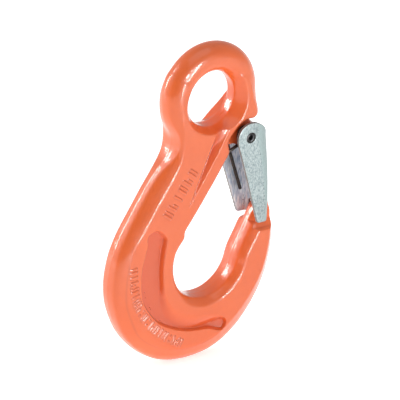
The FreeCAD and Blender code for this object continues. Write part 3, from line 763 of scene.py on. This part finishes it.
def fillet(a, corner, b, radius, steps=8):
    """Points rounding the corner between a and b."""
    a, corner, b = np.array(a), np.array(corner), np.array(b)
    u = (a - corner) / np.linalg.norm(a - corner)
    v = (b - corner) / np.linalg.norm(b - corner)
    half = math.acos(np.clip(u @ v, -1, 1)) / 2
    run = radius / math.tan(half)
    centre = corner + (u + v) / np.linalg.norm(u + v) * radius / math.sin(half)
    p, q = corner + u * run, corner + v * run
    out = []
    for i in range(steps + 1):
        w = p + (q - p) * i / steps - centre
        out.append(tuple(centre + w / np.linalg.norm(w) * radius))
    return out


def latch_side_distance():
    """Distance outside the latch's side profile, on its grid."""
    low, middle = math.radians(18.3), math.radians(45)
    head = (PIN_X - HEAD_R * math.cos(low), PIN_Z - HEAD_R * math.sin(low))
    head_mid = (PIN_X - HEAD_R * math.cos(middle), PIN_Z + HEAD_R * math.sin(middle))
    heel, toe = (LATCH_BACK_X, LATCH_END_Z), (LATCH_TOE_X, LATCH_END_Z)
    profile = arc_through(head, head_mid, (PIN_X, PIN_Z + HEAD_R), 30)
    profile += arc_through((21.2, PIN_Z + HEAD_R), (28.0, -19.6), (33.2, -30.0), 16)
    profile += [(LATCH_BACK_X, LATCH_END_Z + 5)]
    profile += fillet((LATCH_BACK_X, -50), heel, toe, 0.8)
    profile += fillet(heel, toe, head, 1.3)
    profile = np.array(profile)
    dense = []
    for a, b in zip(profile, np.roll(profile, -1, 0)):
        steps = max(1, int(np.linalg.norm(b - a) / 0.15))
        dense += [tuple(a + (b - a) * i / steps) for i in range(steps)]
    return -LATCH_GRID.nearest(np.array(dense), True)


LATCH_SIDE = latch_side_distance()


def channel_distance(points):
    """Distance outside the channel's outer skin, and x past the start of its fold."""
    x, y, z = points.T
    width, radius, back = (np.interp(z, CHANNEL[:, 0], CHANNEL[:, c]) for c in (1, 2, 3))
    past_fold = x - (back - radius)
    return rounded_corner(past_fold, np.abs(y) - (width / 2 - radius), radius), past_fold


def latch_parts(points):
    x, y, z = points.T
    shell = np.abs(channel_distance(points)[0] + LATCH_T / 2) - LATCH_T / 2
    side = LATCH_GRID.sample(LATCH_SIDE, x, z)
    # open-ended slot for the hook point, with rounded top corners
    notch = rounded_corner(np.abs(y) - (NOTCH_HALF - NOTCH_R), z - (NOTCH_Z - NOTCH_R), NOTCH_R)
    notch = np.where(x > 28.4, notch, 5.0)
    hole = np.hypot(x - PIN_X, z - PIN_Z) - LATCH_HOLE_R
    hole = np.where(x < 26, hole, 5.0)
    return shell, side, -notch, -hole


def latch_at(points):
    shell, side, notch, hole = latch_parts(points)
    return soft_max(soft_max(shell, side, 0.45), soft_max(notch, hole, 0.1), 0.4)


def build_latch():
    lo, hi = np.asarray(LATCH_LO), np.asarray(LATCH_HI)
    counts = np.ceil((hi - lo) / LATCH_STEP).astype(int) + 1
    xs, ys, zs = [lo[d] + np.arange(counts[d]) * LATCH_STEP for d in range(3)]
    values = np.empty(counts)
    x, z = np.meshgrid(xs, zs, indexing="ij")
    for j, y in enumerate(ys):
        layer = latch_at(np.stack([x.ravel(), np.full(x.size, y), z.ravel()], 1))
        values[:, j, :] = layer.reshape(x.shape)
    net = fit_net(latch_at, values, lo, LATCH_STEP, first_rounds=2)
    ob = quad_object("latch_sheet", *net)

    points = np.array([v.co for v in ob.data.vertices]) / MM - (0, 0, LIFT)
    shell, side, notch, hole = latch_parts(points)
    cut = np.maximum(np.maximum(side, notch), hole)
    outer, past_fold = channel_distance(points)
    # mask of the cut edges of the sheet, which carry a painted reflection of the orange hook, in
    # shade
    raw_edge = np.clip(1 - (shell - cut + 0.35) / 0.4, 0, 1) * (cut > -0.25)
    add_attribute(ob, "raw_edge", raw_edge)
    add_attribute(ob, "crease", np.exp(-(past_fold / 0.7) ** 2))
    add_attribute(ob, "fold", ease((past_fold - 0.1) / 0.35))
    add_attribute(ob, "inner_side", (outer < -LATCH_T / 2).astype(float))
    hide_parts("safety_latch")
    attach(ob, "latch")
    return ob


latch = build_latch()

# ===================================================================== coiled spring pin
PIN_LENGTH, PIN_TURNS, PIN_SHEET, PIN_GAP = 19.6, 2.2, 0.42, 0.03


def build_pin():
    """Rolled sheet pin about the joint axis: a closed spiral band with rounded ends."""
    n = 150
    turn_start = 2.6                         # radians
    a = np.linspace(0, PIN_TURNS * 2 * math.pi, n)
    outer = PIN_R - (PIN_SHEET + PIN_GAP) * a / (2 * math.pi)
    # the outside lip is eased in over its first half radian
    outer = np.where(a < 0.5, outer - 0.12 * (1 - a / 0.5), outer)
    skins = [np.stack([r * np.cos(a + turn_start), r * np.sin(a + turn_start)], 1)
             for r in (outer, outer - PIN_SHEET)]
    ring = np.vstack([skins[0], skins[1][::-1]])
    half_mid = (ring[:n] + ring[::-1][:n]) / 2
    mid = np.vstack([half_mid, half_mid[::-1]])
    pinched = mid + (ring - mid) * 0.55
    m = len(ring)
    end = PIN_LENGTH / 2
    ys = [-end, -end + 0.25, *np.linspace(-end + 1.2, end - 1.2, 9), end - 0.25, end]
    points = []
    for i, y in enumerate(ys):
        q = ring if 0 < i < len(ys) - 1 else pinched
        points.append(np.stack([PIN_X + q[:, 0], np.full(m, y), PIN_Z + q[:, 1]], 1))
    faces = []
    for i in range(len(ys) - 1):
        for j in range(m):
            k = (j + 1) % m
            faces.append((i * m + j, (i + 1) * m + j, (i + 1) * m + k, i * m + k))
    last = (len(ys) - 1) * m
    for j in range(n - 1):
        faces.append((j, j + 1, m - 2 - j, m - 1 - j))
        faces.append((last + j, last + m - 1 - j, last + m - 2 - j, last + j + 1))
    ob = quad_object("latch_pin_roll", np.vstack(points), faces)
    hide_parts("latch_pin")
    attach(ob, "hook")
    return ob


pin = build_pin()

# ===================================================================== double torsion spring
WIRE_R, COIL_R, COIL_PITCH = 0.8, 3.75, 1.68
COIL_OUT_Y = 6.85                            # where the coil starts, nearest the latch cheek
LEG_X, LEG_Z = 20.25, -35.6                  # the leg runs parallel to the line from here
LEG_END = np.array([26.9, 6.1, -55.2])
BRIDGE_X, BRIDGE_Z, BRIDGE_BEND_R = 9.95, -30.2, 1.7
# rounded free end of the wire: distance along it, fraction of the wire's radius
WIRE_END = [(0.0, 0.35), (0.05, 0.62), (0.16, 0.86), (0.34, 1.0)]


def coil_point(degrees, y):
    t = math.radians(degrees)
    return np.array([PIN_X + COIL_R * math.cos(t), y, PIN_Z + COIL_R * math.sin(t)])


def spring_path():
    """Centre line of the +Y half: leg, coil, arm, bend, and half the bridge to y = 0."""
    leg_dir = np.array([LEG_END[0] - LEG_X, 0, LEG_END[2] - LEG_Z])
    leg_dir /= np.linalg.norm(leg_dir)
    first = math.degrees(math.atan2(-leg_dir[0], leg_dir[2])) % 360
    dx, dz = BRIDGE_X - PIN_X, BRIDGE_Z - PIN_Z
    tangent = math.degrees(math.acos(COIL_R / math.hypot(dx, dz)))
    final = math.degrees(math.atan2(dz, dx)) + tangent
    sweep = (first - final) % 360 + 360
    in_y = COIL_OUT_Y - COIL_PITCH * sweep / 360
    start, tail = coil_point(first, COIL_OUT_Y), coil_point(first - sweep, in_y)
    foot = start + leg_dir * ((LEG_END - start) @ leg_dir)
    foot[1] = LEG_END[1]
    path = [foot + (start - foot) * i / 40 for i in range(40)]
    path += [coil_point(first - sweep * i / 200, COIL_OUT_Y + (in_y - COIL_OUT_Y) * i / 200)
             for i in range(201)]
    knee = np.array([BRIDGE_X, in_y, BRIDGE_Z])
    arm_dir = (knee - tail) / np.linalg.norm(knee - tail)
    r = BRIDGE_BEND_R
    centre = knee - arm_dir * r + np.array([0, -r, 0])
    stop = centre + np.array([0, r, 0])
    path += [tail + (stop - tail) * i / 12 for i in range(1, 12)]
    path += [centre + np.array([0, r * math.cos(t), 0]) + arm_dir * r * math.sin(t)
             for t in np.linspace(0, math.pi / 2, 14)]
    x, y, z = path[-1]
    path += [np.array([x, y * (1 - i / 5), z]) for i in range(1, 6)]
    return np.array(path)


def wire_object(name, line, radius, sides=16):
    """Round wire along a line, first end rounded off, second end flat."""
    tangents = np.gradient(line, axis=0)
    tangents /= np.linalg.norm(tangents, axis=1)[:, None]
    keep = [i for i in range(len(line)) if np.linalg.norm(line[i] - line[0]) > 0.5]
    ends = [line[0] + tangents[0] * distance for distance, _ in WIRE_END]
    centres = np.vstack([ends, line[keep]])
    radii = [radius * fraction for _, fraction in WIRE_END] + [radius] * len(keep)
    directions = np.vstack([np.repeat(tangents[:1], len(ends), 0), tangents[keep]])
    across = np.array([0.0, 1.0, 0.0])
    a = np.arange(sides) * 2 * math.pi / sides
    rings = []
    for centre, direction, r in zip(centres, directions, radii):
        across = across - direction * (across @ direction)
        across /= np.linalg.norm(across)
        other = np.cross(direction, across)
        rings.append(centre + r * (np.cos(a)[:, None] * across + np.sin(a)[:, None] * other))
    n = len(rings)
    verts = np.vstack(rings + [centres[:1], centres[-1:]])
    faces = [(i * sides + j, i * sides + (j + 1) % sides,
              (i + 1) * sides + (j + 1) % sides, (i + 1) * sides + j)
             for i in range(n - 1) for j in range(sides)]
    last = (n - 1) * sides
    faces += [(n * sides, (j + 1) % sides, j) for j in range(sides)]
    faces += [(n * sides + 1, last + j, last + (j + 1) % sides) for j in range(sides)]
    mesh = bpy.data.meshes.new(name)
    mesh.from_pydata(((verts + (0, 0, LIFT)) * MM).tolist(), [], faces)
    mesh.update()
    for face in mesh.polygons:
        face.use_smooth = len(face.vertices) == 4
    return add_object(name, mesh)


def build_wire(name, side):
    """One half of the spring; side is +1 for +Y and -1 for -Y."""
    ob = wire_object(name, spring_path() * np.array([1, side, 1]), WIRE_R)
    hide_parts("latch_spring")
    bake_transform(ob)
    return ob


wires = [build_wire("spring_wire_far", 1.0), build_wire("spring_wire_near", -1.0)]


# ===================================================================== materials
class Shader:
    """A Principled material; the methods add a node and return its output."""

    def __init__(self, name):
        self.material = bpy.data.materials.new(name)
        self.material.use_nodes = True
        self.tree = self.material.node_tree
        self.tree.nodes.clear()
        output = self.node("OutputMaterial")
        self.surface = self.node("BsdfPrincipled")
        self.tree.links.new(self.surface.outputs["BSDF"], output.inputs["Surface"])
        self.coords = self.node("TexCoord").outputs["Object"]

    def node(self, kind):
        return self.tree.nodes.new("ShaderNode" + kind)

    def put(self, socket, value):
        """Links an output, or sets a number, a vector or an RGB colour."""
        if isinstance(value, bpy.types.NodeSocket):
            self.tree.links.new(value, socket)
        elif isinstance(value, tuple) and socket.type == "RGBA":
            socket.default_value = (*value, 1.0)
        else:
            socket.default_value = value

    def set(self, name, value):
        self.put(self.surface.inputs[name], value)

    def noise(self, scale, detail=4.0, roughness=0.55, stretch=None):
        node = self.node("TexNoise")
        node.inputs["Scale"].default_value = scale
        node.inputs["Detail"].default_value = detail
        node.inputs["Roughness"].default_value = roughness
        vector = self.coords
        if stretch:
            mapping = self.node("Mapping")
            self.put(mapping.inputs["Scale"], stretch)
            self.put(mapping.inputs["Vector"], vector)
            vector = mapping.outputs["Vector"]
        self.put(node.inputs["Vector"], vector)
        return node.outputs["Fac"]

    def ramp(self, value, span, to):
        """Maps the range span to the range to, clamped."""
        node = self.node("MapRange")
        node.inputs["From Min"].default_value, node.inputs["From Max"].default_value = span
        node.inputs["To Min"].default_value, node.inputs["To Max"].default_value = to
        self.put(node.inputs["Value"], value)
        return node.outputs["Result"]

    def mix(self, factor, under, over):
        node = self.node("Mix")
        node.data_type = "RGBA"
        for index, value in ((0, factor), (6, under), (7, over)):    # factor and the two colours
            self.put(node.inputs[index], value)
        return node.outputs[2]

    def times(self, a, b):
        node = self.node("Math")
        node.operation = "MULTIPLY"
        self.put(node.inputs[0], a)
        self.put(node.inputs[1], b)
        return node.outputs[0]

    def attribute(self, name):
        node = self.node("Attribute")
        node.attribute_name = name
        return node.outputs["Fac"]

    def bump(self, height, strength, distance, normal=None):
        node = self.node("Bump")
        node.inputs["Strength"].default_value = strength
        node.inputs["Distance"].default_value = distance
        self.put(node.inputs["Height"], height)
        if normal is not None:
            self.put(node.inputs["Normal"], normal)
        return node.outputs["Normal"]

    def cavity(self, distance):
        node = self.node("AmbientOcclusion")
        node.inputs["Distance"].default_value = distance
        node.samples = 4
        return node.outputs["AO"]


def paint_material():
    """Glossy orange lacquer, with painted shade in the hollows, round the marks and in the creases.
    """
    orange, pale, deep = (0.86, 0.140, 0.024), (0.89, 0.153, 0.030), (0.83, 0.127, 0.021)
    # the last three colours are painted shade: in the hollows, round the marks and in the creases
    hollow, outlined, cavity_shade_colour = (0.70, 0.085, 0.012), (0.50, 0.085, 0.035), (0.50, 0.062, 0.022)
    s = Shader("forging_paint")
    large, mid = s.noise(scale=45, detail=3), s.noise(scale=240)
    fine = s.noise(scale=1500, detail=3)
    base = s.mix(s.ramp(large, span=(0.35, 0.65), to=(0, 1)), orange, pale)
    base = s.mix(s.ramp(mid, span=(0.50, 0.75), to=(0, 0.35)), base, deep)
    # painted shade: the crescent and the groove darker by their depth
    base = s.mix(s.times(s.attribute("groove"), 0.75), base, hollow)
    # painted shade round the walls of the marks and along the rim line
    base = s.mix(s.times(s.attribute("mark_edge"), 0.45), base, outlined)
    # painted shade in creases and recesses, from ambient occlusion, patchy in strength
    cavity_shade = s.ramp(s.cavity(distance=0.0035), span=(0.25, 0.95), to=(0.55, 0.0))
    patchy = s.ramp(mid, span=(0.3, 0.7), to=(0.6, 1.0))
    base = s.mix(s.times(cavity_shade, patchy), base, cavity_shade_colour)
    s.set("Base Color", base)
    s.set("Roughness", s.ramp(mid, span=(0.3, 0.7), to=(0.30, 0.44)))
    s.set("Specular IOR Level", 0.35)
    s.set("Coat Weight", 0.85)
    s.set("Coat IOR", 1.5)
    s.set("Coat Roughness", s.ramp(fine, span=(0.3, 0.8), to=(0.03, 0.09)))
    waves = s.bump(s.noise(scale=260, detail=2), strength=0.22, distance=0.0006)
    grain = s.bump(s.noise(scale=1300, detail=2), strength=0.10, distance=0.0002, normal=waves)
    s.set("Normal", grain)
    s.set("Coat Normal", grain)
    return s.material


def zinc_material():
    """Mottled zinc: grainy cheeks, smoother fold with a painted shade line along its crease, a
    painted reflection on the inside (bluish with bright streaks), and a painted reflection of the
    orange hook, in shade, on the cut edges.
    """
    cheek_dark, cheek_pale = (0.21, 0.265, 0.27), (0.42, 0.485, 0.485)
    glint, pit = (0.76, 0.80, 0.79), (0.24, 0.29, 0.30)
    # the crease grey is painted shade
    fold_dark, fold_pale, crease_shade_grey = (0.31, 0.395, 0.39), (0.37, 0.455, 0.45), (0.30, 0.37, 0.37)
    # painted reflection colours of the inner faces
    inside_reflection_blue, inside_reflection_white = (0.40, 0.53, 0.66), (0.90, 0.98, 1.0)
    # the edge brown is a painted reflection of the orange hook, in shade; the black specks are the
    # metal's own
    speck_black, edge_reflection_brown = (0.06, 0.06, 0.06), (0.16, 0.115, 0.085)
    s = Shader("latch_zinc")
    large = s.noise(scale=90)
    mid = s.noise(scale=1400, roughness=0.6, stretch=(1, 1, 0.6))
    fine = s.noise(scale=2600, detail=3, roughness=0.7, stretch=(1, 1, 0.5))
    reflection_streak = s.noise(scale=300, roughness=0.6, stretch=(6, 6, 0.8))
    cheek = s.mix(s.ramp(mid, span=(0.38, 0.62), to=(0, 1)), cheek_dark, cheek_pale)
    cheek = s.mix(s.ramp(fine, span=(0.58, 0.70), to=(0, 0.50)), cheek, glint)
    cheek = s.mix(s.ramp(fine, span=(0.28, 0.38), to=(0.5, 0)), cheek, pit)
    folded = s.mix(s.ramp(mid, span=(0.35, 0.65), to=(0, 1)), fold_dark, fold_pale)
    outside = s.mix(s.attribute("fold"), cheek, folded)
    # painted shade: a darker grey line along the crease where the fold starts, in noise-varied
    # strength
    crease_shade_amount = s.ramp(large, span=(0.3, 0.7), to=(0.15, 0.45))
    outside = s.mix(s.times(s.attribute("crease"), crease_shade_amount), outside, crease_shade_grey)
    # painted reflection: the inner faces bluish with pale streaks, standing for the surroundings
    # reflected in them
    inside = s.mix(s.ramp(reflection_streak, span=(0.38, 0.62), to=(0, 1)), inside_reflection_blue, inside_reflection_white)
    base = s.mix(s.attribute("inner_side"), outside, inside)
    spots = s.noise(scale=1100, detail=3, roughness=0.7)
    speck = s.times(s.ramp(spots, span=(0.60, 0.64), to=(0, 1)), s.attribute("crease"))
    base = s.mix(s.times(speck, 0.85), base, speck_black)
    # painted reflection of the orange hook, in shade, on the cut edges of the sheet
    edge_reflection_amount = s.ramp(mid, span=(0.3, 0.7), to=(0.45, 0.95))
    base = s.mix(s.times(s.attribute("raw_edge"), edge_reflection_amount), base, edge_reflection_brown)
    s.set("Base Color", base)
    s.set("Metallic", s.ramp(s.attribute("inner_side"), span=(0.0, 1.0), to=(0.55, 0.10)))
    s.set("Roughness", s.ramp(large, span=(0.3, 0.7), to=(0.36, 0.56)))
    mottle = s.bump(mid, strength=0.18, distance=0.0003)
    s.set("Normal", s.bump(fine, strength=0.12, distance=0.0001, normal=mottle))
    return s.material


def steel_material(name, scales, dark, pale, rust, rust_span, metallic, roughness):
    """Dark mottled steel with rusty specks; scales are of the coarse and the fine noise."""
    s = Shader(name)
    mid, fine = s.noise(scale=scales[0]), s.noise(scale=scales[1], detail=3)
    base = s.mix(s.ramp(mid, span=(0.35, 0.65), to=(0, 1)), dark, pale)
    s.set("Base Color", s.mix(s.ramp(fine, span=rust_span, to=(0, 0.5)), base, rust))
    s.set("Metallic", metallic)
    s.set("Roughness", s.ramp(mid, span=(0.3, 0.7), to=roughness))
    s.set("Normal", s.bump(fine, strength=0.2, distance=0.0001))
    return s.material


paint, zinc = paint_material(), zinc_material()
pin_steel = steel_material(
    "pin_steel", scales=(600, 2600), dark=(0.05, 0.05, 0.052), pale=(0.15, 0.15, 0.155),
    rust=(0.20, 0.13, 0.09), rust_span=(0.62, 0.72), metallic=0.8, roughness=(0.32, 0.55))
spring_steel = steel_material(
    "spring_wire", scales=(500, 2500), dark=(0.022, 0.018, 0.016), pale=(0.060, 0.047, 0.038),
    rust=(0.14, 0.10, 0.07), rust_span=(0.60, 0.70), metallic=0.5, roughness=(0.28, 0.50))
for ob, finish in ((body, paint), (latch, zinc), (pin, pin_steel),
                   (wires[0], spring_steel), (wires[1], spring_steel)):
    ob.data.materials.append(finish)

# ===================================================================== floor, light, camera
# axes of the view; BACK points from the hook to the camera
RIGHT = Vector((0.8078, -0.5880, 0.0430)).normalized()
BACK = Vector((-0.5554, -0.7350, 0.3870)).normalized()
UP = BACK.cross(RIGHT).normalized()
RIGHT = UP.cross(BACK).normalized()
AIM = Vector((-12.42, -14.49, -45.33 + LIFT)) * MM
VIEW_WIDTH = 185.1851852
CAMERA_DISTANCE = 0.8                        # metres
FLOOR_SIZE, FLOOR_GAP = 6.0, 0.0003          # metres


def add_floor():
    """Pale floor, faintly glowing, just under the forging."""
    low = min((body.matrix_world @ v.co).z for v in body.data.vertices)
    bpy.ops.mesh.primitive_grid_add(x_subdivisions=24, y_subdivisions=24, size=FLOOR_SIZE,
                                    location=(0, 0, low - FLOOR_GAP))
    floor = bpy.context.object
    floor.name = "floor"
    material = bpy.data.materials.new("floor_pale")
    material.use_nodes = True
    tree = material.node_tree
    surface = tree.nodes["Principled BSDF"]
    noise = tree.nodes.new("ShaderNodeTexNoise")
    noise.inputs["Scale"].default_value = 6.0
    tint = tree.nodes.new("ShaderNodeMix")
    tint.data_type = "RGBA"
    tint.inputs[6].default_value = (0.90, 0.90, 0.90, 1)
    tint.inputs[7].default_value = (0.94, 0.94, 0.94, 1)
    tree.links.new(noise.outputs["Fac"], tint.inputs[0])
    tree.links.new(tint.outputs[2], surface.inputs["Base Color"])
    surface.inputs["Roughness"].default_value = 0.9
    surface.inputs["Specular IOR Level"].default_value = 0.1
    surface.inputs["Emission Color"].default_value = (1, 1, 1, 1)
    surface.inputs["Emission Strength"].default_value = 0.62
    floor.data.materials.append(material)
    floor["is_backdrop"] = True


def add_world():
    """White surroundings, dimmer behind the camera."""
    world = bpy.data.worlds.new("studio")
    bpy.context.scene.world = world
    world.use_nodes = True
    tree = world.node_tree
    background = tree.nodes["Background"]
    coords = tree.nodes.new("ShaderNodeTexCoord")
    dot = tree.nodes.new("ShaderNodeVectorMath")
    dot.operation = "DOT_PRODUCT"
    dot.inputs[1].default_value = tuple(BACK)
    tree.links.new(coords.outputs["Generated"], dot.inputs[0])
    dim = tree.nodes.new("ShaderNodeMapRange")
    for name, value in (("From Min", 0.2), ("From Max", 0.95), ("To Min", 0.50), ("To Max", 0.20)):
        dim.inputs[name].default_value = value
    tree.links.new(dot.outputs["Value"], dim.inputs["Value"])
    tree.links.new(dim.outputs["Result"], background.inputs["Strength"])
    background.inputs["Color"].default_value = (1, 1, 1, 1)


def softbox(name, toward, size, power, distance=1.0, color=(1, 1, 1), diffuse=True, glossy=True):
    """Rectangular light out from AIM in the direction toward; metres and watts."""
    light = bpy.data.lights.new(name, "AREA")
    light.shape = "RECTANGLE"
    light.size, light.size_y = size
    light.energy = power
    light.color = color
    ob = bpy.data.objects.new(name, light)
    direction = Vector(toward).normalized()
    ob.location = AIM + direction * distance
    ob.rotation_euler = direction.to_track_quat("Z", "Y").to_euler()
    ob.visible_diffuse, ob.visible_glossy = diffuse, glossy
    bpy.context.scene.collection.objects.link(ob)


def add_lights():
    """Broad boxes light the paint; narrow strips only show as reflections in the lacquer."""
    softbox("front_fill", toward=(0.0, -1.0, 0.0), size=(0.30, 0.7), power=3.7, glossy=False)
    softbox("front_strip", toward=(0.0, -1.0, 0.0), size=(0.50, 0.75), power=33.0, diffuse=False)
    softbox("rim_fill", toward=(-0.70, 0.62, 0.33), size=(0.50, 0.7), power=4.4, glossy=False)
    softbox("rim_strip", toward=(-0.61, 0.72, 0.32), size=(0.16, 0.55), power=5.2,
            color=(1.0, 0.92, 0.92), diffuse=False)
    softbox("rim_glow", toward=(-0.63, 0.70, 0.32), size=(0.30, 0.85), power=2.0,
            distance=1.02, color=(1.0, 0.74, 0.74), diffuse=False)
    softbox("top_box", toward=(0.0, -0.25, 1.0), size=(0.9, 0.9), power=2.2, distance=1.1)


def add_camera():
    data = bpy.data.cameras.new("camera")
    data.type = "ORTHO"
    data.ortho_scale = VIEW_WIDTH * MM
    camera = add_object("camera", data)
    rows = [(RIGHT[i], UP[i], BACK[i], AIM[i] + BACK[i] * CAMERA_DISTANCE) for i in range(3)]
    camera.matrix_world = Matrix(rows + [(0, 0, 0, 1)])
    bpy.context.scene.camera = camera


add_floor()
add_world()
add_lights()
add_camera()
bpy.context.scene.view_settings.view_transform = "Standard"

scene_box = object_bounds()


def plain(v):
    return [plain(q) for q in v] if hasattr(v, "__len__") else float(v)


{"cad_box": plain(cad_box), "scene_box": plain(scene_box)}
